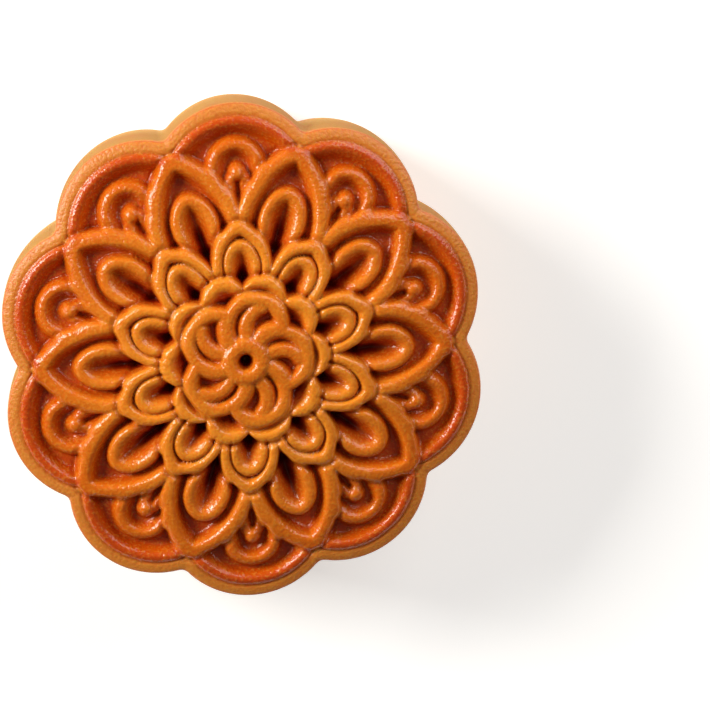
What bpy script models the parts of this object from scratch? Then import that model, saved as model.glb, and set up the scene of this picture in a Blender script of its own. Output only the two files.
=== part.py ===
"""A moulded mooncake, whole and uncut: one closed solid of baked crust.

The cake stands on its flat base at z = 0, centred on the Z axis, with its pressed face upwards.
Its wall has ten lobes, one of them on +Y.  The face is a flower pressed by a carved mould, and
each ring of it lies over the ring outside it: lobe arches, ten large petals with their tips in
the notches of the wall, ten middle petals, ten scallops, and a five-petalled rosette that turns
round a ring with a hole.  Every raised line is a rounded rope whose crest follows a named curve,
so the height of the face at a point comes from its distances to those crests.

Lengths are millimetres until the mesh is written, and angles are radians unless a name says so.
"""
import math
from dataclasses import dataclass

import bmesh
import bpy
import numpy as np

MM = 0.001

# The wall, seen from above: each lobe is an arc round a centre on the lobe's own axis.
LOBES = 10
SECTOR = 2 * math.pi / LOBES
LOBE_AXIS = math.pi / 2
NOTCH_AXIS = LOBE_AXIS + SECTOR / 2
WALL_ARC = 11.5
WALL_ARC_AT = 20.5
FACE_ARC = 11.1
FACE_ARC_AT = 20.6
NOTCH_ROUNDING = 1.0

# The wall, seen from the side.
SHOULDER_Z = 21.4
WALL_BULGE = 0.35
BASE_TAPER = 0.5
BASE_CORNER = 2.2

# How the baked cake has settled out of true.  Each list is millimetres at the rim, for x, y,
# x squared, x times y and y squared.
SETTLE_REACH = 32.0
SETTLE_X = (0.25, 0.4, -0.11, -0.06, -0.24)
SETTLE_Y = (0.27, 0.94, 0.06, 0.14, 0.18)

# The crown that the crests of the face follow.
RIM_Z = 23.0
CROWN_RISE = 4.6
CROWN_RADIUS = 31.0
CROWN_REACH = 34.0

# Where two ropes meet, the valley between them is this soft.
SOFT = 0.14
TIGHT = 0.1
# Where a ring lies over the next, its flank ends in a groove of this width.
GROOVE_WIDTH = 0.45

# A lobe: the rim, the pale bead outside it, the arch, and the knob with its two legs.
LOBE_DEPTH = 1.9
RIM_CREST = 9.15
RIM_SLOPE = 1.25
BEAD_AT = 10.35
BEAD_ROLL = 1.95
BEAD_DROP = 0.3
CREASE_AT = 9.78
CREASE_DEPTH = 0.3
CREASE_WIDTH = 0.2
ARCH_AT = 23.8
ARCH_RADIUS = 3.05
ARCH_DEPTH = 1.65
ARCH_HALF = 1.1
ARCH_SLOPE = 1.1
KNOB_AT = 23.4
KNOB_RADIUS = 1.35
KNOB_HEIGHT = 1.8
LEG = ((23.2, 0.4), (22.4, 1.0), (20.0, 1.15))
LEG_HALF = 0.92
LEG_HEIGHT = 1.35


@dataclass(frozen=True)
class Recess:
    """A bell-shaped hollow on a petal's axis."""

    at: float
    length: float
    width: float
    depth: float


@dataclass(frozen=True)
class PetalRing:
    """Ten pointed petals, each with a rib inside its edge.

    The crests are Bezier curves in a petal's own frame: u runs outwards on its axis and v
    sideways.  Slopes are how far a crest's inner side takes to fall, and rib_floor is the share
    of the rib's height that is left inside it.
    """

    axis: float
    outline: tuple
    rib: tuple
    depth: float
    proud: float
    edge_slope: float
    rib_slope: float
    rib_half: float
    rib_drop: float
    rib_floor: float
    flank: float
    groove: float
    recess: Recess


LARGE_PETALS = PetalRing(
    axis=NOTCH_AXIS,
    outline=((16.6, 5.05), (20.0, 5.5), (25.2, 3.0), (26.15, 0.0)),
    rib=((15.0, 1.4), (18.4, 3.35), (21.2, 1.8), (21.4, 0.0)),
    depth=2.2,
    proud=0.15,
    edge_slope=1.35,
    rib_slope=1.5,
    rib_half=0.95,
    rib_drop=0.2,
    rib_floor=0.1,
    flank=1.3,
    groove=0.3,
    recess=Recess(at=14.9, length=2.6, width=1.2, depth=2.2),
)
MIDDLE_PETALS = PetalRing(
    axis=LOBE_AXIS,
    outline=((10.0, 2.9), (13.0, 3.9), (16.1, 2.3), (16.55, 0.0)),
    rib=((9.5, 1.5), (12.6, 2.6), (14.4, 1.6), (14.55, 0.0)),
    depth=2.2,
    proud=0.3,
    edge_slope=1.15,
    rib_slope=1.3,
    rib_half=1.0,
    rib_drop=0.2,
    rib_floor=0.3,
    flank=1.0,
    groove=0.5,
    recess=Recess(at=10.3, length=1.4, width=0.85, depth=1.9),
)
# The inner side of a petal's edge is steeper than that of its rib.
EDGE_ROUNDNESS = 3.6
CURVE_STEPS = 14

# Scallops are arcs round centres on the large petals' axes.
SCALLOP_AT = 7.55
SCALLOP_ARC = 2.6
SCALLOP_DEPTH = 1.7
SCALLOP_PROUD = 0.45
SCALLOP_SLOPE = 1.3

# The rosette's petals are arcs too: centre, radius, first and last angle in degrees.
ROSETTE_PETALS = 5
ROSETTE_TURN = math.radians(126.0)
ROSETTE_DEPTH = 1.8
ROSETTE_PROUD = 0.65
ROSETTE_HEART = 5.0
ROSETTE_ROUNDNESS = 3.6
PETAL_CREST = (2.6, -3.6, 3.7, -122.0, 80.0)
PETAL_HALF = 1.42
TONGUE_CREST = (1.1, -4.8, 3.05, -20.0, 62.0)
TONGUE_HALF = 1.25
TONGUE_DEPTH = 1.65
RING_RADIUS = 2.05
RING_HALF = 1.6
RING_HEIGHT = 2.1
HOLE_RADIUS = 0.82
HOLE_DEPTH = 1.8

# The flank and the groove round the scallops and round the rosette.
UPPER_FLANK = 1.0
UPPER_GROOVE = 0.6

# Rings of faces down the shoulder, the wall and the base's corner.
SHOULDER_RINGS = 4
WALL_RINGS = 5
CORNER_RINGS = 4
BASE_SNAP = 0.05

# The mesh: squares across the face before it is thinned, how soon towards the edge they take
# the lobed outline, and the triangles kept in all.
FACE_SQUARES = 170
LOBED_FROM = 6
TRIANGLES = 9400

CRUST_COLOUR = (0.58, 0.19, 0.03, 1.0)
CRUST_ROUGHNESS = 0.42
SHARP_ANGLE = math.radians(60.0)


def clear_scene():
    """Remove every object of the open file."""
    for item in list(bpy.data.objects):
        bpy.data.objects.remove(item, do_unlink=True)


def bezier(first, second, third, last):
    """Return points along a cubic Bezier curve."""
    t = np.linspace(0.0, 1.0, CURVE_STEPS)[:, None]
    first, second, third, last = (np.array(p) for p in (first, second, third, last))
    start = (1 - t) ** 3 * first + 3 * (1 - t) ** 2 * t * second
    return start + 3 * (1 - t) * t ** 2 * third + t ** 3 * last


def petal_frame(radius, angle, axis):
    """Return u and v in the frame of the nearest of ten axes, folded onto one side."""
    off = np.abs((angle - axis + SECTOR / 2) % SECTOR - SECTOR / 2)
    return radius * np.cos(off), radius * np.sin(off)


def distance_to_line(u, v, points):
    """Return the distance from (u, v) to a line of straight pieces."""
    nearest = np.full(np.shape(u), np.inf)
    for (u0, v0), (u1, v1) in zip(points[:-1], points[1:]):
        du = u1 - u0
        dv = v1 - v0
        along = np.clip(((u - u0) * du + (v - v0) * dv) / (du * du + dv * dv), 0.0, 1.0)
        gap = np.hypot(u - u0 - along * du, v - v0 - along * dv)
        nearest = np.minimum(nearest, gap)
    return nearest


def inside_distance(u, v, points, root):
    """Return the distance to a petal's crest, positive inside the petal.

    Nearer the centre than the crest's first point, the petal is as wide as root.
    """
    gap = distance_to_line(u, v, points)
    edge = np.interp(u, points[:, 0], points[:, 1], left=root, right=-1.0)
    return np.where(v < edge, gap, -gap)


def distance_to_arc(x, y, arc):
    """Return the distance to an arc given as centre x, centre y, radius, first and last angle."""
    centre_x, centre_y, radius, first, last = arc
    off_x = x - centre_x
    off_y = y - centre_y
    turn = np.degrees(np.arctan2(off_y, off_x))
    from_middle = (turn - (first + last) / 2 + 180.0) % 360.0 - 180.0
    on_arc = np.abs(np.hypot(off_x, off_y) - radius)
    ends = np.full(np.shape(x), np.inf)
    for end in (math.radians(first), math.radians(last)):
        gap = np.hypot(off_x - radius * math.cos(end), off_y - radius * math.sin(end))
        ends = np.minimum(ends, gap)
    return np.where(np.abs(from_middle) <= (last - first) / 2, on_arc, ends)


def rope(distance, half_width, roundness=3.0):
    """Return the height, 0 to 1, of a rounded rope at a distance from its crest."""
    return np.clip(1.0 - (np.abs(distance) / half_width) ** roundness, 0.0, 1.0)


def dish(distance, width, roundness=2.8):
    """Return the height, 0 to 1, of a slope that falls away from a crest and flattens out."""
    return np.exp(-(np.maximum(distance, 0.0) / width) ** roundness)


def blend(a, b, softness):
    """Return the larger of two heights, with a rounded valley where they meet."""
    share = np.clip(0.5 + 0.5 * (a - b) / softness, 0.0, 1.0)
    return b + (a - b) * share + softness * share * (1.0 - share)


def bell(distance, width):
    """Return a soft bump, 1 at distance 0."""
    return np.exp(-(distance / width) ** 2)


def ramp(value, start, end):
    """Return 0 before start, 1 after end, and a smooth rise between them."""
    share = np.clip((value - start) / (end - start), 0.0, 1.0)
    return share * share * (3.0 - 2.0 * share)


def hollow(u, v, recess):
    """Return the depth of a petal's recess at (u, v)."""
    along = (u - recess.at) / recess.length
    return recess.depth * np.exp(-along ** 2 - (v / recess.width) ** 2)


def crown(radius):
    """Return the height of the smooth crown that the crests follow."""
    share = np.minimum(radius, CROWN_REACH) / CROWN_RADIUS
    return RIM_Z + CROWN_RISE * (1.0 - share ** 2)


def lay_over(below, above, inside, flank, groove):
    """Lay one ring of the flower over the ring below it.

    Outside its crest the upper ring falls down a rounded flank, and a groove is pressed into
    the lower ring at the flank's foot.
    """
    outside = np.maximum(-inside, 0.0)
    foot = groove * bell(outside - flank, GROOVE_WIDTH) * (inside < 0)
    lower = below - foot
    return lower + (above - lower) * rope(outside, flank)


def lobe_face(radius, angle):
    """Return the face inside a wall lobe: rim, bead, arch, knob and floor."""
    u, v = petal_frame(radius, angle, LOBE_AXIS)
    from_arc = np.hypot(u - FACE_ARC_AT, v)
    floor = LOBE_DEPTH * dish(RIM_CREST - from_arc, RIM_SLOPE)
    bead = LOBE_DEPTH - BEAD_DROP * ramp(from_arc, RIM_CREST, BEAD_AT)
    bead = bead * rope(np.maximum(from_arc - BEAD_AT, 0.0), BEAD_ROLL)
    face = np.where(from_arc < RIM_CREST, floor, bead)

    # The arch's two feet run straight back towards the middle.
    arch = np.hypot(np.maximum(u - ARCH_AT, 0.0), v) - ARCH_RADIUS
    arch = np.where(arch < 0, dish(-arch, ARCH_SLOPE), rope(arch, ARCH_HALF))
    knob = rope(np.hypot(u - KNOB_AT, v), KNOB_RADIUS)
    leg = rope(distance_to_line(u, v, LEG), LEG_HALF)
    face = blend(face, ARCH_DEPTH * arch, SOFT)
    face = blend(face, KNOB_HEIGHT * knob, SOFT)
    face = blend(face, LEG_HEIGHT * leg, SOFT)

    crease = CREASE_DEPTH * bell(from_arc - CREASE_AT, CREASE_WIDTH)
    return crown(radius) - LOBE_DEPTH + face - crease


def petal_ring(below, radius, angle, ring):
    """Lay a ring of ten pointed petals over the face."""
    u, v = petal_frame(radius, angle, ring.axis)
    outline = bezier(*ring.outline)
    rib = bezier(*ring.rib)
    inside = inside_distance(u, v, outline, np.inf)
    in_rib = inside_distance(u, v, rib, rib[0, 1])
    scoop = ring.rib_floor + (1.0 - ring.rib_floor) * dish(in_rib, ring.rib_slope)
    rib_shape = np.where(in_rib > 0, scoop, rope(in_rib, ring.rib_half))
    height = ring.depth * dish(inside, ring.edge_slope, EDGE_ROUNDNESS)
    height = blend(height, (ring.depth - ring.rib_drop) * rib_shape, SOFT)
    height = height - hollow(u, v, ring.recess)
    above = crown(radius) + ring.proud - ring.depth + height
    return lay_over(below, above, inside, ring.flank, ring.groove)


def scallop_ring(below, radius, angle):
    """Lay the ten scallops over the middle petals."""
    u, v = petal_frame(radius, angle, NOTCH_AXIS)
    inside = SCALLOP_ARC - np.hypot(u - SCALLOP_AT, v)
    fall = SCALLOP_DEPTH * (1.0 - dish(inside, SCALLOP_SLOPE))
    above = crown(radius) + SCALLOP_PROUD - fall
    inside = np.where(u < SCALLOP_AT, np.maximum(inside, 0.0), inside)
    return lay_over(below, above, inside, UPPER_FLANK, UPPER_GROOVE)


def rosette(below, x, y, radius):
    """Lay the turning rosette and its ring over the scallops."""
    ropes = RING_HEIGHT * rope(radius - RING_RADIUS, RING_HALF)
    inside = ROSETTE_HEART - radius
    centre_x, centre_y, arc = PETAL_CREST[:3]
    for petal in range(ROSETTE_PETALS):
        turn = ROSETTE_TURN - petal * 2 * math.pi / ROSETTE_PETALS
        own_x = x * math.cos(turn) + y * math.sin(turn)
        own_y = y * math.cos(turn) - x * math.sin(turn)
        edge = distance_to_arc(own_x, own_y, PETAL_CREST)
        edge = rope(edge, PETAL_HALF, ROSETTE_ROUNDNESS)
        tongue = distance_to_arc(own_x, own_y, TONGUE_CREST)
        tongue = rope(tongue, TONGUE_HALF, ROSETTE_ROUNDNESS)
        ropes = blend(ropes, ROSETTE_DEPTH * edge, TIGHT)
        ropes = blend(ropes, TONGUE_DEPTH * tongue, TIGHT)
        inside = np.maximum(inside, arc - np.hypot(own_x - centre_x, own_y - centre_y))
    hole = HOLE_DEPTH * np.exp(-(radius / HOLE_RADIUS) ** 4)
    above = crown(radius) + ROSETTE_PROUD - ROSETTE_DEPTH + ropes - hole
    return lay_over(below, above, inside, UPPER_FLANK, UPPER_GROOVE)


def face_height(x, y):
    """Return the height of the pressed face over the base at (x, y)."""
    radius = np.hypot(x, y)
    angle = np.arctan2(y, x)
    face = lobe_face(radius, angle)
    face = petal_ring(face, radius, angle, LARGE_PETALS)
    face = petal_ring(face, radius, angle, MIDDLE_PETALS)
    face = scallop_ring(face, radius, angle)
    return rosette(face, x, y, radius)


def lobed_radius(angle, arc, arc_at):
    """Return the radius, at an angle, of an outline of ten arcs with rounded notches."""
    off = np.abs((angle - LOBE_AXIS + SECTOR / 2) % SECTOR - SECTOR / 2)

    def reach(turn):
        side = arc_at * np.sin(turn)
        return arc_at * np.cos(turn) + np.sqrt(np.maximum(arc ** 2 - side ** 2, 0.0))

    return blend(reach(off), reach(SECTOR - off), NOTCH_ROUNDING)


def disc_point(a, b):
    """Turn a point of a square, -1 to 1 each way, into a radius 0 to 1 and an angle."""
    if a == 0.0 and b == 0.0:
        return 0.0, 0.0
    if abs(a) > abs(b):
        radius = a
        angle = math.pi / 4 * b / a
    else:
        radius = b
        angle = math.pi / 2 - math.pi / 4 * a / b
    if radius < 0.0:
        return -radius, angle + math.pi
    return radius, angle


def shape_face(mesh):
    """Turn a square grid into the pressed face, out to its lobed edge."""
    verts = list(mesh.verts)
    polar = np.array([disc_point(vert.co.x, vert.co.y) for vert in verts])
    share = polar[:, 0]
    angle = polar[:, 1]
    edge = lobed_radius(angle, FACE_ARC, FACE_ARC_AT)
    lobed = share ** LOBED_FROM
    radius = share * (edge * lobed + edge.mean() * (1.0 - lobed))
    x = radius * np.cos(angle)
    y = radius * np.sin(angle)
    z = face_height(x, y)
    for vert, place in zip(verts, np.stack((x, y, z), axis=1)):
        vert.co = place


def wall_steps():
    """Yield the rings of the wall from the face down to the base.

    Each is how far it has gone from the face's edge to the wall's outline, how far it has
    dropped from the face's edge to the shoulder, how far it stands off the wall, and its z.
    """
    for step in range(1, SHOULDER_RINGS + 1):
        turn = math.pi / 2 * step / SHOULDER_RINGS
        yield math.sin(turn), 1.0 - math.cos(turn), 0.0, SHOULDER_Z
    for step in range(1, WALL_RINGS + 1):
        down = step / WALL_RINGS
        off = WALL_BULGE * math.sin(math.pi * down) - BASE_TAPER * down
        yield 1.0, 1.0, off, SHOULDER_Z + (BASE_CORNER - SHOULDER_Z) * down
    for step in range(1, CORNER_RINGS + 1):
        turn = math.pi / 2 * step / CORNER_RINGS
        off = -BASE_TAPER - BASE_CORNER * (1.0 - math.cos(turn))
        yield 1.0, 1.0, off, BASE_CORNER * (1.0 - math.sin(turn))


def pull_wall(mesh):
    """Extrude the face's edge into the shoulder, the wall and the base, and close the base."""
    edges = [edge for edge in mesh.edges if edge.is_boundary]
    rim = {}
    for out, drop, off, z in wall_steps():
        made = bmesh.ops.extrude_edge_only(mesh, edges=edges)["geom"]
        edges = [item for item in made if isinstance(item, bmesh.types.BMEdge)]
        edges = [edge for edge in edges if edge.is_boundary]
        for vert in {vert for edge in edges for vert in edge.verts}:
            angle = math.atan2(vert.co.y, vert.co.x)
            key = round(angle, 7)
            rim.setdefault(key, vert.co.z)
            face_edge = float(lobed_radius(angle, FACE_ARC, FACE_ARC_AT))
            wall_edge = float(lobed_radius(angle, WALL_ARC, WALL_ARC_AT))
            radius = face_edge + (wall_edge - face_edge) * out + off
            height = rim[key] + (z - rim[key]) * drop
            vert.co = (radius * math.cos(angle), radius * math.sin(angle), height)
    made = bmesh.ops.extrude_edge_only(mesh, edges=edges)["geom"]
    base = [item for item in made if isinstance(item, bmesh.types.BMVert)]
    bmesh.ops.pointmerge(mesh, verts=base, merge_co=(0.0, 0.0, 0.0))


def thin_out(item):
    """Thin the mesh to its triangle budget, which keeps the crests and grooves."""
    mesh = item.data
    mesh.calc_loop_triangles()
    thin = item.modifiers.new("thin_out", "DECIMATE")
    thin.ratio = TRIANGLES / len(mesh.loop_triangles)
    thin.use_collapse_triangulate = True
    view = bpy.context.evaluated_depsgraph_get()
    view.update()
    thinned = bpy.data.meshes.new_from_object(item.evaluated_get(view))
    item.modifiers.clear()
    item.data = thinned
    bpy.data.meshes.remove(mesh)


def settle(x, y):
    """Return where the point (x, y) of the true shape lies on the settled cake."""
    u = x / SETTLE_REACH
    v = y / SETTLE_REACH
    bends = (u, v, u * u, u * v, v * v)
    settled_x = x + sum(share * bend for share, bend in zip(SETTLE_X, bends))
    settled_y = y + sum(share * bend for share, bend in zip(SETTLE_Y, bends))
    return settled_x, settled_y


def seat(mesh):
    """Settle the cake, put its base on z = 0 and its box's middle on the Z axis, in metres."""
    points = np.empty(len(mesh.vertices) * 3)
    mesh.vertices.foreach_get("co", points)
    points = points.reshape(-1, 3)
    points[:, 0], points[:, 1] = settle(points[:, 0], points[:, 1])
    points[:, 2] = np.where(points[:, 2] < BASE_SNAP, 0.0, points[:, 2])
    points[:, :2] -= (points[:, :2].min(axis=0) + points[:, :2].max(axis=0)) / 2
    mesh.vertices.foreach_set("co", (points * MM).ravel())
    mesh.update()


def crust_material():
    """Return the browned, glazed crust."""
    material = bpy.data.materials.new("glazed_crust")
    material.use_nodes = True
    shader = material.node_tree.nodes["Principled BSDF"]
    shader.inputs["Base Color"].default_value = CRUST_COLOUR
    shader.inputs["Metallic"].default_value = 0.0
    shader.inputs["Roughness"].default_value = CRUST_ROUGHNESS
    return material


def make_mooncake():
    """Model the whole cake as one closed object."""
    shape = bmesh.new()
    bmesh.ops.create_grid(shape, x_segments=FACE_SQUARES, y_segments=FACE_SQUARES, size=1.0)
    shape_face(shape)
    pull_wall(shape)
    bmesh.ops.recalc_face_normals(shape, faces=shape.faces)
    mesh = bpy.data.meshes.new("mooncake_shape")
    shape.to_mesh(mesh)
    shape.free()
    cake = bpy.data.objects.new("mooncake", mesh)
    bpy.context.scene.collection.objects.link(cake)
    thin_out(cake)
    seat(cake.data)
    cake.data.materials.append(crust_material())
    cake.data.shade_smooth()
    cake.data.set_sharp_from_angle(angle=SHARP_ANGLE)
    return cake


def main():
    """Build the part in an emptied scene."""
    clear_scene()
    make_mooncake()


main()
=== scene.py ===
# %% [markdown]
# # A moulded mooncake, from its frame to its glaze
#
# This lesson dresses one imported solid: a whole baked mooncake with a flower pressed into its
# face.  The imported model gives the true size and place, and nothing here is fitted by eye.  The
# crust is then modelled again much finer, because the ropes of the flower are only about two
# millimetres wide and their gloss shows every facet.

import math

import bmesh
import bpy
import numpy as np
from mathutils import Matrix, Vector, noise


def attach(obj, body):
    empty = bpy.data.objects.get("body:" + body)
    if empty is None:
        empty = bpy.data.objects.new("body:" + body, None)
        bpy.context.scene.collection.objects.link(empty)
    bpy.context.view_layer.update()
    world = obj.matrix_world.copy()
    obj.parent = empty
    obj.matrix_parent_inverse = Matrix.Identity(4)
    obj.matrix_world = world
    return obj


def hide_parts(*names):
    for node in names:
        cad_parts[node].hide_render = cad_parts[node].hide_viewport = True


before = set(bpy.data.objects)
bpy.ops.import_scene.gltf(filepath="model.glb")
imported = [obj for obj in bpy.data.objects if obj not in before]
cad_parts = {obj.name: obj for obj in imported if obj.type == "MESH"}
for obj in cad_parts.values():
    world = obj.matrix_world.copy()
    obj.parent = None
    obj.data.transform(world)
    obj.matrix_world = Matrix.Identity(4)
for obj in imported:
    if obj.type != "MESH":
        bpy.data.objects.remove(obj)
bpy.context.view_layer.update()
MM = 0.001

# %% [markdown]
# ## The plan of the cake
#
# The real cake is pressed in a carved mould and its wall has ten lobes.  Each lobe is an arc of
# a circle whose centre lies on the lobe's own axis, so two numbers describe the whole outline:
# the arc's radius, and how far out its centre is.  The pressed face has a slightly smaller
# outline of its own, and the shoulder between the two is rounded.  All these lengths are
# millimetres until the mesh is finished.

# %% The lobed wall
LOBES = 10
SECTOR = 2 * math.pi / LOBES
LOBE_AXIS = math.pi / 2
NOTCH_AXIS = LOBE_AXIS + SECTOR / 2
WALL_ARC, WALL_ARC_AT = 11.5, 20.5
FACE_ARC, FACE_ARC_AT = 11.1, 20.6
NOTCH_ROUNDING = 1.0
SHOULDER_Z = 21.4
WALL_BULGE = 0.35
BASE_TAPER = 0.5
BASE_CORNER = 2.2
print("lobes:", LOBES, "outline radius, mm:", WALL_ARC + WALL_ARC_AT)

# %% [markdown]
# ## Ropes, dishes and soft valleys
#
# Every raised line on the face is a rounded rope of dough.  The simplest way to model such a
# relief is to ask, at each point of the face, how far the nearest crest is, and to turn that
# distance into a height.  A *rope* is round and ends at its half width.  A *dish* falls away
# from a crest and flattens out, as the inside of a petal does.  Where two ropes meet, the higher
# one wins, and *blend* rounds the valley between them.

# %% Heights from distances
def rope(distance, half_width, roundness=3.0):
    """The height, 0 to 1, of a rounded rope at a distance from its crest."""
    return np.clip(1.0 - (np.abs(distance) / half_width) ** roundness, 0.0, 1.0)


def dish(distance, width, roundness=2.8):
    """The height, 0 to 1, of a slope that falls away from a crest and flattens out."""
    return np.exp(-(np.maximum(distance, 0.0) / width) ** roundness)


def blend(a, b, softness):
    """The larger of two heights, with a rounded valley where they meet."""
    share = np.clip(0.5 + 0.5 * (a - b) / softness, 0.0, 1.0)
    return b + (a - b) * share + softness * share * (1.0 - share)


def bell(distance, width):
    """A soft bump, 1 at distance 0."""
    return np.exp(-(distance / width) ** 2)


def ramp(value, start, end):
    """0 before start, 1 after end, and smooth between them."""
    share = np.clip((value - start) / (end - start), 0.0, 1.0)
    return share * share * (3.0 - 2.0 * share)


print("rope at its crest and edge:", rope(0.0, 1.0), rope(1.0, 1.0))

# %% [markdown]
# ## Distances to crests
#
# The flower repeats ten times and each petal is its own mirror image, so one fold brings every
# point into a single half petal: u runs outwards on the petal's axis and v sideways.  A petal's
# outline is a Bezier curve there, and a curve is only a chain of short straight pieces when its
# distance is wanted.

# %% Distances in a petal's own frame
CURVE_STEPS = 24


def petal_frame(radius, angle, axis):
    """u and v in the frame of the nearest of ten axes, folded onto one side."""
    off = np.abs((angle - axis + SECTOR / 2) % SECTOR - SECTOR / 2)
    return radius * np.cos(off), radius * np.sin(off)


def bezier(first, second, third, last):
    """Points along a cubic Bezier curve."""
    t = np.linspace(0.0, 1.0, CURVE_STEPS)[:, None]
    first, second, third, last = (np.array(p) for p in (first, second, third, last))
    start = (1 - t) ** 3 * first + 3 * (1 - t) ** 2 * t * second
    return start + 3 * (1 - t) * t ** 2 * third + t ** 3 * last


def distance_to_line(u, v, points):
    """The distance to a line of straight pieces."""
    nearest = np.full(np.shape(u), np.inf)
    for (u0, v0), (u1, v1) in zip(points[:-1], points[1:]):
        du, dv = u1 - u0, v1 - v0
        along = np.clip(((u - u0) * du + (v - v0) * dv) / (du * du + dv * dv), 0.0, 1.0)
        nearest = np.minimum(nearest, np.hypot(u - u0 - along * du, v - v0 - along * dv))
    return nearest


def inside_distance(u, v, points, root):
    """The distance to a petal's crest, positive inside; root is its half width further in."""
    edge = np.interp(u, points[:, 0], points[:, 1], left=root, right=-1.0)
    gap = distance_to_line(u, v, points)
    return np.where(v < edge, gap, -gap)


def distance_to_arc(x, y, arc):
    """The distance to an arc: centre x, centre y, radius, first and last angle in degrees."""
    centre_x, centre_y, radius, first, last = arc
    off_x, off_y = x - centre_x, y - centre_y
    turn = np.degrees(np.arctan2(off_y, off_x))
    from_middle = (turn - (first + last) / 2 + 180.0) % 360.0 - 180.0
    on_arc = np.abs(np.hypot(off_x, off_y) - radius)
    ends = np.full(np.shape(x), np.inf)
    for end in (math.radians(first), math.radians(last)):
        gap = np.hypot(off_x - radius * math.cos(end), off_y - radius * math.sin(end))
        ends = np.minimum(ends, gap)
    return np.where(np.abs(from_middle) <= (last - first) / 2, on_arc, ends)


print("a point 20 mm out on a notch axis:", petal_frame(20.0, NOTCH_AXIS, NOTCH_AXIS))

# %% [markdown]
# ## One ring laid over the next
#
# The face is domed, and its crests follow a smooth crown.  The flower is built like a real one,
# from the outside in: each ring of petals lies over the ring outside it.  Outside its own crest
# the upper ring falls down a round flank, and the mould has pressed a groove at the flank's foot.

# %% The crown and the overlap
RIM_Z, CROWN_RISE, CROWN_RADIUS, CROWN_REACH = 23.0, 4.6, 31.0, 34.0
SOFT, TIGHT = 0.14, 0.1
GROOVE_WIDTH = 0.45


def crown(radius):
    """The height of the smooth crown that the crests follow."""
    share = np.minimum(radius, CROWN_REACH) / CROWN_RADIUS
    return RIM_Z + CROWN_RISE * (1.0 - share ** 2)


def hollow(u, v, at, length, width, depth):
    """The depth of a bell-shaped recess on a petal's axis."""
    return depth * np.exp(-((u - at) / length) ** 2 - (v / width) ** 2)


def lay_over(below, above, inside, flank, groove):
    """Lay one ring of the flower over the ring below it."""
    outside = np.maximum(-inside, 0.0)
    foot = groove * bell(outside - flank, GROOVE_WIDTH) * (inside < 0)
    lower = below - foot
    return lower + (above - lower) * rope(outside, flank)


print("crown at the middle and the rim, mm:", crown(0.0), crown(CROWN_RADIUS))

# %% [markdown]
# ## The lobes
#
# Each lobe of the face holds a shallow tray.  Its rim is a rope just inside a paler bead, and a
# fine crease parts the two.  In the tray stand an arch and a small knob with two legs.

# %% A lobe's tray, arch and knob
LOBE_DEPTH = 1.9
RIM_CREST, RIM_SLOPE = 9.15, 1.25
BEAD_AT, BEAD_ROLL, BEAD_DROP = 10.35, 1.95, 0.3
CREASE_AT, CREASE_DEPTH, CREASE_WIDTH = 9.78, 0.3, 0.2
ARCH_AT, ARCH_RADIUS, ARCH_DEPTH, ARCH_HALF, ARCH_SLOPE = 23.8, 3.05, 1.65, 1.1, 1.1
KNOB_AT, KNOB_RADIUS, KNOB_HEIGHT = 23.4, 1.35, 1.8
LEG, LEG_HALF, LEG_HEIGHT = ((23.2, 0.4), (22.4, 1.0), (20.0, 1.15)), 0.92, 1.35


def lobe_face(radius, angle):
    """The face inside a wall lobe: rim, bead, arch, knob and floor."""
    u, v = petal_frame(radius, angle, LOBE_AXIS)
    from_arc = np.hypot(u - FACE_ARC_AT, v)
    floor = LOBE_DEPTH * dish(RIM_CREST - from_arc, RIM_SLOPE)
    bead = LOBE_DEPTH - BEAD_DROP * ramp(from_arc, RIM_CREST, BEAD_AT)
    bead = bead * rope(np.maximum(from_arc - BEAD_AT, 0.0), BEAD_ROLL)
    face = np.where(from_arc < RIM_CREST, floor, bead)
    arch = np.hypot(np.maximum(u - ARCH_AT, 0.0), v) - ARCH_RADIUS
    arch = np.where(arch < 0, dish(-arch, ARCH_SLOPE), rope(arch, ARCH_HALF))
    face = blend(face, ARCH_DEPTH * arch, SOFT)
    face = blend(face, KNOB_HEIGHT * rope(np.hypot(u - KNOB_AT, v), KNOB_RADIUS), SOFT)
    face = blend(face, LEG_HEIGHT * rope(distance_to_line(u, v, LEG), LEG_HALF), SOFT)
    crease = CREASE_DEPTH * bell(from_arc - CREASE_AT, CREASE_WIDTH)
    return crown(radius) - LOBE_DEPTH + face - crease


print("arch crest, mm from the middle:", ARCH_AT + ARCH_RADIUS)

# %% [markdown]
# ## The two rings of petals
#
# Ten large petals reach out to the notches of the wall, and ten middle ones lie over them, half
# a step round.  Both kinds are made the same way, a pointed rim with a rib inside it that scoops
# down to a deep recess, so one function serves both and only the sizes differ.  Where the rim
# and the rib of a middle petal are equally high, the dough folds into a fine seam.

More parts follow.
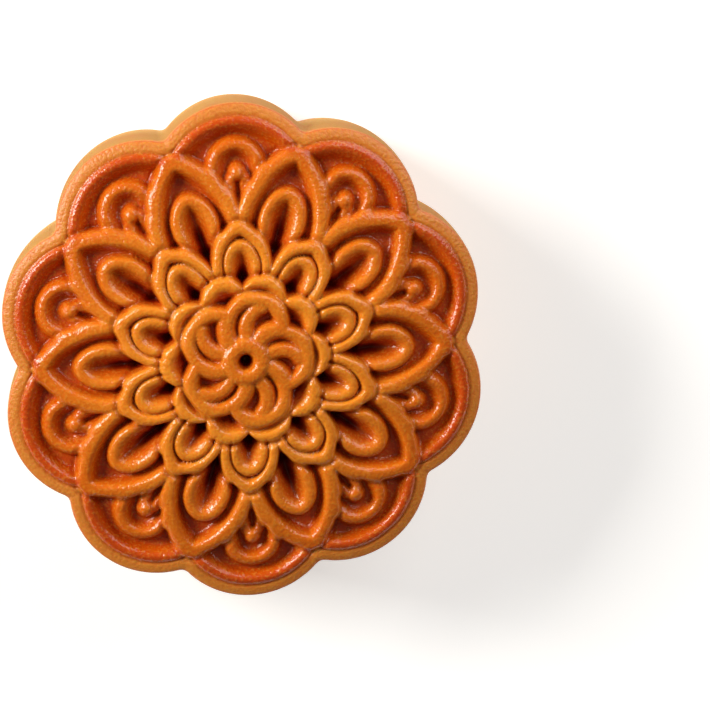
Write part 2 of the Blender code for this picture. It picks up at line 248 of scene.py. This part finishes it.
# %% Large and middle petals
EDGE_ROUNDNESS = 3.6
SEAM_SOFT = 0.6
LARGE_PETALS = dict(
    axis=NOTCH_AXIS, depth=2.2, proud=0.15,
    outline=((16.6, 5.05), (20.0, 5.5), (25.2, 3.0), (26.15, 0.0)), edge_slope=1.35,
    rib=((15.0, 1.4), (18.4, 3.35), (21.2, 1.8), (21.4, 0.0)),
    rib_slope=1.5, rib_half=0.95, rib_drop=0.2, rib_floor=0.1, seam=0.0, flank=1.3,
    groove=0.3,
    recess=dict(at=14.9, length=2.6, width=1.2, depth=2.2))
MIDDLE_PETALS = dict(
    axis=LOBE_AXIS, depth=2.2, proud=0.3,
    outline=((10.0, 2.9), (13.0, 3.9), (16.1, 2.3), (16.55, 0.0)), edge_slope=1.15,
    rib=((9.5, 1.5), (12.6, 2.6), (14.4, 1.6), (14.55, 0.0)),
    rib_slope=1.3, rib_half=1.0, rib_drop=0.2, rib_floor=0.3, seam=0.38, flank=1.0,
    groove=0.5,
    recess=dict(at=10.3, length=1.4, width=0.85, depth=1.9))


def petal_ring(below, radius, angle, ring):
    """Lay a ring of ten pointed petals over the face."""
    u, v = petal_frame(radius, angle, ring["axis"])
    rib = bezier(*ring["rib"])
    inside = inside_distance(u, v, bezier(*ring["outline"]), np.inf)
    in_rib = inside_distance(u, v, rib, rib[0, 1])
    scoop = ring["rib_floor"] + (1.0 - ring["rib_floor"]) * dish(in_rib, ring["rib_slope"])
    rib_shape = np.where(in_rib > 0, scoop, rope(in_rib, ring["rib_half"]))
    edge = ring["depth"] * dish(inside, ring["edge_slope"], EDGE_ROUNDNESS)
    rib_height = (ring["depth"] - ring["rib_drop"]) * rib_shape
    height = blend(edge, rib_height, SOFT)
    height = height - ring["seam"] * bell(edge - rib_height, SEAM_SOFT)
    height = height - hollow(u, v, **ring["recess"])
    above = crown(radius) + ring["proud"] - ring["depth"] + height
    return lay_over(below, above, inside, ring["flank"], ring["groove"])


print("petal tips, mm:", LARGE_PETALS["outline"][3][0], MIDDLE_PETALS["outline"][3][0])

# %% [markdown]
# ## The scallops and the turning rosette
#
# Ten scallops lie over the middle petals.  On top of them a rosette of five petals turns round a
# ring with a hole in it.  A rosette petal is one arc and its tongue another, and turning the
# pair by a fifth of a circle each time makes the pinwheel.

# %% Scallops, rosette and ring
SCALLOP_AT, SCALLOP_ARC, SCALLOP_DEPTH = 7.55, 2.6, 1.7
SCALLOP_PROUD, SCALLOP_SLOPE = 0.45, 1.3
ROSETTE_PETALS, ROSETTE_TURN, ROSETTE_HEART = 5, math.radians(126.0), 5.0
ROSETTE_DEPTH, ROSETTE_PROUD = 1.8, 0.65
UPPER_FLANK, UPPER_GROOVE = 1.0, 0.6
PETAL_CREST, PETAL_HALF = (2.6, -3.6, 3.7, -122.0, 80.0), 1.42
TONGUE_CREST, TONGUE_HALF, TONGUE_DEPTH = (1.1, -4.8, 3.05, -20.0, 62.0), 1.25, 1.65
RING_RADIUS, RING_HALF, RING_HEIGHT = 2.05, 1.6, 2.1
HOLE_RADIUS, HOLE_DEPTH = 0.82, 1.8
ROSETTE_ROUNDNESS = 3.6


def scallop_ring(below, radius, angle):
    """Lay the ten scallops over the middle petals."""
    u, v = petal_frame(radius, angle, NOTCH_AXIS)
    inside = SCALLOP_ARC - np.hypot(u - SCALLOP_AT, v)
    fall = SCALLOP_DEPTH * (1.0 - dish(inside, SCALLOP_SLOPE))
    inside = np.where(u < SCALLOP_AT, np.maximum(inside, 0.0), inside)
    return lay_over(below, crown(radius) + SCALLOP_PROUD - fall, inside, UPPER_FLANK,
                    UPPER_GROOVE)


def rosette(below, x, y, radius):
    """Lay the turning rosette and its ring over the scallops."""
    ropes = RING_HEIGHT * rope(radius - RING_RADIUS, RING_HALF)
    inside = ROSETTE_HEART - radius
    centre_x, centre_y, arc = PETAL_CREST[:3]
    for petal in range(ROSETTE_PETALS):
        turn = ROSETTE_TURN - petal * 2 * math.pi / ROSETTE_PETALS
        own_x = x * math.cos(turn) + y * math.sin(turn)
        own_y = y * math.cos(turn) - x * math.sin(turn)
        edge = distance_to_arc(own_x, own_y, PETAL_CREST)
        edge = rope(edge, PETAL_HALF, ROSETTE_ROUNDNESS)
        tongue = distance_to_arc(own_x, own_y, TONGUE_CREST)
        tongue = rope(tongue, TONGUE_HALF, ROSETTE_ROUNDNESS)
        ropes = blend(ropes, ROSETTE_DEPTH * edge, TIGHT)
        ropes = blend(ropes, TONGUE_DEPTH * tongue, TIGHT)
        inside = np.maximum(inside, arc - np.hypot(own_x - centre_x, own_y - centre_y))
    hole = HOLE_DEPTH * np.exp(-(radius / HOLE_RADIUS) ** 4)
    above = crown(radius) + ROSETTE_PROUD - ROSETTE_DEPTH + ropes - hole
    return lay_over(below, above, inside, UPPER_FLANK, UPPER_GROOVE)


def face_height(x, y):
    """The height of the pressed face over the base."""
    radius, angle = np.hypot(x, y), np.arctan2(y, x)
    face = lobe_face(radius, angle)
    for ring in (LARGE_PETALS, MIDDLE_PETALS):
        face = petal_ring(face, radius, angle, ring)
    face = scallop_ring(face, radius, angle)
    return rosette(face, x, y, radius)


print("height over the ring's crest, mm:", round(float(face_height(0.0, RING_RADIUS)), 2))

# %% [markdown]
# ## From a square grid to a lobed disc
#
# A bmesh grid is square and the cake is round.  A concentric map turns squares round the middle
# into circles without any pinch or pole, so the faces stay even from the hole to the rim.  Only
# towards the edge does the circle take the lobed outline.  Dough swells unevenly in the oven, so
# each point's place in the mould is shifted a little by smooth noise before its height is asked.

# %% The face's grid
FACE_SQUARES = 276
LOBED_FROM = 6
UNEVEN_SIZES = (6.0, 1.8)
UNEVEN_SIDE, UNEVEN_UP = 0.2, 0.12
UNEVEN_SEED = 7


def lobed_radius(angle, arc, arc_at):
    """The radius, at an angle, of an outline of ten arcs with rounded notches."""
    off = np.abs((angle - LOBE_AXIS + SECTOR / 2) % SECTOR - SECTOR / 2)

    def reach(turn):
        side = arc_at * np.sin(turn)
        return arc_at * np.cos(turn) + np.sqrt(np.maximum(arc ** 2 - side ** 2, 0.0))

    return blend(reach(off), reach(SECTOR - off), NOTCH_ROUNDING)


def disc_point(a, b):
    """Turn a point of a square, -1 to 1 each way, into a radius 0 to 1 and an angle."""
    if a == 0.0 and b == 0.0:
        return 0.0, 0.0
    if abs(a) > abs(b):
        radius, angle = a, math.pi / 4 * b / a
    else:
        radius, angle = b, math.pi / 2 - math.pi / 4 * a / b
    return (radius, angle) if radius >= 0.0 else (-radius, angle + math.pi)


def unevenness(x, y):
    """A smooth random shift of each point, with large waves and small ones."""
    noise.seed_set(UNEVEN_SEED)
    waves = [[noise.noise_vector(Vector((px, py, 0.0)) / size) for px, py in zip(x, y)]
             for size in UNEVEN_SIZES]
    return (np.array(waves[0]) + 0.3 * np.array(waves[1])).T


def shape_face(mesh):
    """Turn a square grid into the pressed face, out to its lobed edge."""
    polar = np.array([disc_point(vert.co.x, vert.co.y) for vert in mesh.verts])
    share, angle = polar[:, 0], polar[:, 1]
    edge = lobed_radius(angle, FACE_ARC, FACE_ARC_AT)
    lobed = share ** LOBED_FROM
    radius = share * (edge * lobed + edge.mean() * (1.0 - lobed))
    x, y = radius * np.cos(angle), radius * np.sin(angle)
    off_x, off_y, off_z = unevenness(x, y) * (1.0 - lobed)
    z = face_height(x + UNEVEN_SIDE * off_x, y + UNEVEN_SIDE * off_y) + UNEVEN_UP * off_z
    for vert, place in zip(mesh.verts, np.stack((x, y, z), axis=1)):
        vert.co = place


crust = bmesh.new()
bmesh.ops.create_grid(crust, x_segments=FACE_SQUARES, y_segments=FACE_SQUARES, size=1.0)
shape_face(crust)
print("face squares:", len(crust.faces))

# %% [markdown]
# ## The wall and the base
#
# The open edge of the face is extruded ring by ring: round the shoulder, down the nearly upright
# wall, round the corner of the base, and last into one point that closes the base.  A float
# layer on the points remembers how far down the wall each ring is, so that the glaze can stop
# where the brush did.

# %% Extrude the wall
SHOULDER_RINGS, WALL_RINGS, CORNER_RINGS = 5, 7, 5


def wall_steps():
    """Each ring's way out to the wall, drop to the shoulder, stand-off, z and way down."""
    for step in range(1, SHOULDER_RINGS + 1):
        turn = math.pi / 2 * step / SHOULDER_RINGS
        yield math.sin(turn), 1.0 - math.cos(turn), 0.0, SHOULDER_Z, step / SHOULDER_RINGS
    for step in range(1, WALL_RINGS + 1):
        down = step / WALL_RINGS
        off = WALL_BULGE * math.sin(math.pi * down) - BASE_TAPER * down
        yield 1.0, 1.0, off, SHOULDER_Z + (BASE_CORNER - SHOULDER_Z) * down, 1.0 + down
    for step in range(1, CORNER_RINGS + 1):
        turn = math.pi / 2 * step / CORNER_RINGS
        off = -BASE_TAPER - BASE_CORNER * (1.0 - math.cos(turn))
        yield 1.0, 1.0, off, BASE_CORNER * (1.0 - math.sin(turn)), 2.0 + step / CORNER_RINGS


def pull_wall(mesh):
    """Extrude the face's edge into the shoulder, the wall and the base."""
    way_down = mesh.verts.layers.float.new("way_down")
    edges = [edge for edge in mesh.edges if edge.is_boundary]
    rim = {}
    for out, drop, off, z, down in wall_steps():
        made = bmesh.ops.extrude_edge_only(mesh, edges=edges)["geom"]
        edges = [item for item in made if isinstance(item, bmesh.types.BMEdge)]
        edges = [edge for edge in edges if edge.is_boundary]
        for vert in {vert for edge in edges for vert in edge.verts}:
            angle = math.atan2(vert.co.y, vert.co.x)
            key = round(angle, 7)
            rim.setdefault(key, vert.co.z)
            face_edge = float(lobed_radius(angle, FACE_ARC, FACE_ARC_AT))
            wall_edge = float(lobed_radius(angle, WALL_ARC, WALL_ARC_AT))
            radius = face_edge + (wall_edge - face_edge) * out + off
            height = rim[key] + (z - rim[key]) * drop
            vert.co = (radius * math.cos(angle), radius * math.sin(angle), height)
            vert[way_down] = down
    made = bmesh.ops.extrude_edge_only(mesh, edges=edges)["geom"]
    base = [item for item in made if isinstance(item, bmesh.types.BMVert)]
    bmesh.ops.pointmerge(mesh, verts=base, merge_co=(0.0, 0.0, 0.0))


pull_wall(crust)
bmesh.ops.recalc_face_normals(crust, faces=crust.faces)
print("open edges left:", sum(edge.is_boundary for edge in crust.edges))

# %% [markdown]
# ## What the finish needs to know
#
# Colour follows form on a baked crust: crests are golden, and floors are dark and red, partly
# from egg wash pooled there and partly as painted shade deepening into the recesses.  The bead
# and the wall are pale because no egg wash reached them.  The same functions that shaped the face
# can tell all this, so the values are stored on the mesh as attributes and the material only
# reads them.

# %% Store attributes, then settle and seat the mesh
SETTLE_REACH = 32.0
SETTLE_X = (0.25, 0.4, -0.11, -0.06, -0.24)
SETTLE_Y = (0.27, 0.94, 0.06, 0.14, 0.18)
CREST_RADII, CREST_PROUDS = (7.0, 10.0, 17.5, 26.0), (0.65, 0.45, 0.3, 0.0)
FLOOR_DEPTHS = (1.9, 2.1, 2.5, 2.4)
TRAY_AT, TRAY_WIDTH, TRAY_CLEAR = 9.0, 0.75, (0.3, 1.1)


def store(mesh, name, values):
    """Store one number for each point of a mesh."""
    layer = mesh.attributes.new(name, "FLOAT", "POINT")
    layer.data.foreach_set("value", np.asarray(values, dtype=np.float32))


def settle(x, y):
    """Where the point (x, y) of the true shape lies on the cake as it settled in the oven."""
    u, v = x / SETTLE_REACH, y / SETTLE_REACH
    bends = (u, v, u * u, u * v, v * v)
    settled_x = x + sum(share * bend for share, bend in zip(SETTLE_X, bends))
    return settled_x, y + sum(share * bend for share, bend in zip(SETTLE_Y, bends))


def finish_mesh(shape, name):
    """Turn a bmesh in millimetres into a seated mesh in metres, with its attributes."""
    mesh = bpy.data.meshes.new(name)
    shape.to_mesh(mesh)
    shape.free()
    points = np.empty(len(mesh.vertices) * 3, dtype=np.float32)
    mesh.vertices.foreach_get("co", points)
    points = points.reshape(-1, 3).astype(float)
    radius = np.hypot(points[:, 0], points[:, 1])
    angle = np.arctan2(points[:, 1], points[:, 0])
    u, v = petal_frame(radius, angle, LOBE_AXIS)
    # How far each point lies below the crests; the material darkens the crust with it, partly as
    # pooled glaze and partly as painted shade.
    crest = crown(radius) + np.interp(radius, CREST_RADII, CREST_PROUDS)
    floor = np.interp(radius, CREST_RADII, FLOOR_DEPTHS)
    store(mesh, "sunk", (crest - points[:, 2]) / floor)
    store(mesh, "outward", radius / CROWN_RADIUS)
    from_arc = np.hypot(u - FACE_ARC_AT, v)
    past_crease = ramp(from_arc, CREASE_AT - CREASE_WIDTH, CREASE_AT + 2 * CREASE_WIDTH)
    store(mesh, "bead", past_crease * (u > FACE_ARC_AT))
    outline = bezier(*LARGE_PETALS["outline"])
    outside = -inside_distance(*petal_frame(radius, angle, NOTCH_AXIS), outline, np.inf)
    store(mesh, "tray", bell(from_arc - TRAY_AT, TRAY_WIDTH) * ramp(outside, *TRAY_CLEAR))
    points[:, 0], points[:, 1] = settle(points[:, 0], points[:, 1])
    points[:, :2] -= (points[:, :2].min(axis=0) + points[:, :2].max(axis=0)) / 2
    mesh.vertices.foreach_set("co", (points * MM).ravel())
    mesh.update()
    mesh.shade_smooth()
    return mesh


cake = bpy.data.objects.new("mooncake_crust", finish_mesh(crust, "mooncake_crust"))
bpy.context.scene.collection.objects.link(cake)
cake.data.calc_loop_triangles()
print("triangles:", len(cake.data.loop_triangles), "size, mm:",
      [round(side / MM, 2) for side in cake.dimensions])

# %% [markdown]
# ## Shader maths as plain Python
#
# A finish is mostly arithmetic on masks.  Wrapping a socket in a small class that knows the
# usual operators keeps that arithmetic readable: `1 - mask * 0.5` then adds its own Math nodes.
# Colours go through Mix nodes, because a Math node would turn them grey.

# %% The socket wrapper and the node maker
class Value:
    """One output socket of a node tree, with arithmetic."""

    def __init__(self, maker, socket):
        self.maker = maker
        self.socket = socket

    def maths(self, operation, *others, clamp=False):
        """Add a Math node that takes this value first."""
        settings = {"operation": operation, "use_clamp": clamp}
        inputs = dict(enumerate((self, *others)))
        return self.maker.node("ShaderNodeMath", "Value", settings, inputs)

    def __add__(self, other):
        return self.maths("ADD", other)

    def __radd__(self, other):
        return self.maths("ADD", other)

    def __sub__(self, other):
        return self.maths("SUBTRACT", other)

    def __rsub__(self, other):
        return self.maths("MULTIPLY", -1.0).maths("ADD", other)

    def __mul__(self, other):
        return self.maths("MULTIPLY", other)

    def __rmul__(self, other):
        return self.maths("MULTIPLY", other)

    def __truediv__(self, other):
        return self.maths("DIVIDE", other)

    def __pow__(self, other):
        return self.maths("POWER", other)

    def clamp(self):
        """This value held between 0 and 1."""
        return self.maths("ADD", 0.0, clamp=True)


class Maker:
    """Adds nodes to one material."""

    def __init__(self, name):
        self.material = bpy.data.materials.new(name)
        self.material.use_nodes = True
        self.tree = self.material.node_tree
        self.shader = self.tree.nodes["Principled BSDF"]

    def put(self, socket, value):
        """Link a value to a socket, or set the socket to a constant."""
        if isinstance(value, Value):
            self.tree.links.new(value.socket, socket)
        else:
            socket.default_value = value

    def node(self, kind, output, settings=None, inputs=None):
        """Add a node: settings are set first, then the inputs are linked or set."""
        made = self.tree.nodes.new(kind)
        for name, value in (settings or {}).items():
            setattr(made, name, value)
        for name, value in (inputs or {}).items():
            self.put(made.inputs[name], value)
        return Value(self, made.outputs[output])

    def attribute(self, name):
        """A number stored on the mesh."""
        return self.node("ShaderNodeAttribute", "Fac", {"attribute_name": name})

    def place(self):
        """Object coordinates, in metres."""
        return self.node("ShaderNodeTexCoord", "Object")

    def noise(self, place, size, detail=2.0, roughness=0.5):
        """Smooth noise, 0 to 1, with grains of about the given size in metres."""
        inputs = {"Vector": place, "Scale": 1.0 / size, "Detail": detail,
                  "Roughness": roughness}
        return self.node("ShaderNodeTexNoise", "Fac", None, inputs)

    def step(self, value, start, end):
        """0 where value is at start or before, 1 from end on, and smooth between them."""
        settings = {"interpolation_type": "SMOOTHSTEP"}
        inputs = {"Value": value, "From Min": start, "From Max": end}
        return self.node("ShaderNodeMapRange", "Result", settings, inputs)

    def mix(self, share, first, second):
        """Two colours mixed by a share, 0 to 1."""
        settings = {"data_type": "RGBA", "clamp_factor": True}
        inputs = {0: share, 6: first, 7: second}
        return self.node("ShaderNodeMix", 2, settings, inputs)

    def finish(self, **inputs):
        """Set the shader's own sockets; an underscore in a name stands for a space."""
        for name, value in inputs.items():
            self.put(self.shader.inputs[name.replace("_", " ")], value)
        return self.material


print("operators ready")

# %% [markdown]
# ## The baked, glazed crust
#
# One material covers the cake, because the real crust is one sheet of dough.  Its colour mixes
# from golden crests to red-brown floors, partly a browner glaze and partly painted shade that
# deepens into the recesses, browns towards the rim, and turns to pale tan on the bead and the
# wall.  Fine grains lighten and darken it, and the same grains, as bump, break up the egg
# glaze's highlights into sparks.

# %% The crust's material
def srgb(red, green, blue):
    """A colour given as 0 to 255 on screen, as the linear colour that a shader takes."""
    parts = [part / 255.0 for part in (red, green, blue)]
    linear = [p / 12.92 if p <= 0.04045 else ((p + 0.055) / 1.055) ** 2.4 for p in parts]
    return (*linear, 1.0)


HONEY = srgb(232, 142, 34)
AMBER = srgb(211, 104, 8)
BROWN = srgb(189, 62, 2)
# The two deep floor colours below are partly a browner, pooled glaze and partly painted shade for
# the floors and recesses.
DEEP_FLOOR_BROWN_AND_SHADE = srgb(146, 34, 0)
RECESS_BROWN_AND_SHADE = srgb(104, 18, 0)
PALE = srgb(228, 162, 62)
TAN = srgb(166, 112, 30)
CREAM = srgb(212, 158, 84)
BAKED = srgb(166, 84, 22)
GRAIN = 0.42 * MM
MOTTLE = 3.0 * MM
PATCHES = 7.0 * MM


def crust_material():
    """The baked crust with its egg glaze."""
    maker = Maker("glazed_crust")
    place = maker.place()
    sunk = maker.attribute("sunk")
    outward = maker.attribute("outward")
    way_down = maker.attribute("way_down")
    bead = maker.attribute("bead")
    tray = maker.attribute("tray")
    grain = maker.noise(place, GRAIN, detail=1.0)
    mottle = maker.noise(place, MOTTLE, detail=2.0)
    patches = maker.noise(place, PATCHES, detail=2.0)
    on_wall = maker.step(way_down, 0.05, 0.9)

    # Colour darkens and reddens with depth below the crests: partly a browner glaze pooled in the
    # floors, partly painted shade on the flanks, floors and deepest recesses.
    depth = sunk + (mottle - 0.5) * 0.25
    colour = maker.mix(maker.step(outward, 0.2, 0.33) * 0.7 + 0.3, AMBER, HONEY)
    colour = maker.mix(maker.step(outward, 0.33, 0.9), colour, AMBER)
    colour = maker.mix(maker.step(outward, 0.88, 0.95) * 0.35, colour, BROWN)
    colour = maker.mix(tray * 0.8, colour, BROWN)
    colour = maker.mix(maker.step(depth, 0.0, 0.75) * 0.8, colour, BROWN)
    colour = maker.mix(maker.step(depth, 0.8, 1.2), colour, DEEP_FLOOR_BROWN_AND_SHADE)
    colour = maker.mix(maker.step(depth, 1.15, 1.5), colour, RECESS_BROWN_AND_SHADE)
    colour = maker.mix(bead * 0.45, colour, PALE)
    shallow = maker.step(depth, 1.1, 0.7)
    colour = maker.mix(maker.step(grain, 0.5, 0.7) * shallow * 0.24, colour, PALE)
    colour = maker.mix(maker.step(grain, 0.5, 0.3) * shallow * 0.18, colour, BROWN)
    wall = maker.mix(maker.step(way_down, 1.2, 1.8) * 0.6, TAN, CREAM)
    wall = maker.mix(maker.step(patches, 0.45, 0.7) * 0.3, wall, BAKED)
    wall = maker.mix(maker.step(way_down, 1.85, 2.6) * 0.75, wall, BAKED)
    colour = maker.mix(on_wall, colour, wall)
    seam = maker.step(way_down, 0.02, 0.12) * (1 - maker.step(way_down, 0.2, 0.5))
    colour = maker.mix(seam * 0.45, colour, BROWN)

    glaze = (1 - on_wall) * (1 - bead * 0.3)
    roughness = 0.85 - glaze * 0.6
    bump = maker.node("ShaderNodeBump", "Normal", None,
                      {"Strength": 1.0, "Distance": 0.11 * MM, "Height": grain})
    return maker.finish(Base_Color=colour, Roughness=roughness, Normal=bump,
                        Specular_IOR_Level=0.5, Subsurface_Weight=0.5, Subsurface_Scale=1.0 * MM,
                        Subsurface_Radius=(1.0, 0.3, 0.1))


cake.data.materials.append(crust_material())
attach(cake, "root")
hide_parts("mooncake")
print("material nodes:", len(cake.data.materials[0].node_tree.nodes))

# %% [markdown]
# ## A pale table and soft light
#
# A glazed relief needs light from the side.  A soft lamp low on the left rakes across the face, so
# every rope has a bright and a dark side, and a wider, weaker one on the right keeps the far lobes
# alive.  A bright sky would lay a grey sheen over the dark floors of the petals, so the world is
# almost black, and the floor glows a little by itself to stay pale.

# %% Floor, world and lamps
FLOOR_SIZE = 3.0
WORLD_COLOUR, WORLD_STRENGTH = (1.0, 0.88, 0.74, 1.0), 0.14
FLOOR_GLOW = 0.5
LAMPS = (("key", (-1.12, 0.60, 0.68), 0.6, 25.8, (1.0, 0.98, 0.92)),
         ("fill", (0.90, 1.00, 0.65), 1.20, 14.6, (1.0, 0.98, 0.96)))


def make_floor():
    """A plain pale floor under the cake."""
    shape = bmesh.new()
    bmesh.ops.create_grid(shape, x_segments=1, y_segments=1, size=FLOOR_SIZE / 2)
    mesh = bpy.data.meshes.new("floor")
    shape.to_mesh(mesh)
    shape.free()
    floor = bpy.data.objects.new("floor", mesh)
    bpy.context.scene.collection.objects.link(floor)
    maker = Maker("pale_floor")
    mesh.materials.append(maker.finish(Base_Color=(0.8, 0.8, 0.8, 1.0), Roughness=0.8,
                                       Emission_Strength=FLOOR_GLOW))


def make_lamp(name, place, size, power, colour):
    """A square soft lamp that faces the cake."""
    data = bpy.data.lights.new(name, "AREA")
    data.size = size
    data.energy = power
    data.color = colour
    lamp = bpy.data.objects.new(name, data)
    lamp.location = place
    lamp.rotation_euler = (-Vector(place)).to_track_quat("-Z", "Y").to_euler()
    bpy.context.scene.collection.objects.link(lamp)


make_floor()
for lamp in LAMPS:
    make_lamp(*lamp)
world = bpy.data.worlds.new("studio")
bpy.context.scene.world = world
world.use_nodes = True
world.node_tree.nodes["Background"].inputs["Color"].default_value = WORLD_COLOUR
world.node_tree.nodes["Background"].inputs["Strength"].default_value = WORLD_STRENGTH
bpy.context.scene.view_settings.view_transform = "Standard"
print("lamps:", [lamp[0] for lamp in LAMPS])

# %% [markdown]
# ## The camera
#
# The cake is seen from almost straight above, through a long lens, so the flower shows whole and
# a sliver of wall shows along its upper edge.  The camera looks at a point beside the cake.

# %% Camera
LENS = 130.3
CAMERA_AT = Vector((-8.27, 58.83, 354.48)) * MM
LOOKS_AT = Vector((14.58, -1.03, 23.0)) * MM
ROLL = math.radians(2.735)


def make_camera():
    """A long lens that looks down on the cake."""
    back = (CAMERA_AT - LOOKS_AT).normalized()
    level = Vector((0.0, 1.0, 0.0)).cross(back).normalized()
    up = back.cross(level) * math.cos(ROLL) + level * math.sin(ROLL)
    right = up.cross(back)
    turn = Matrix((right, up, back)).transposed().to_4x4()
    data = bpy.data.cameras.new("camera")
    data.lens = LENS
    data.clip_start = 0.01
    camera = bpy.data.objects.new("camera", data)
    camera.matrix_world = Matrix.Translation(CAMERA_AT) @ turn
    bpy.context.scene.collection.objects.link(camera)
    bpy.context.scene.camera = camera
    return camera


make_camera()
print("camera height, mm:", round(CAMERA_AT.z / MM))
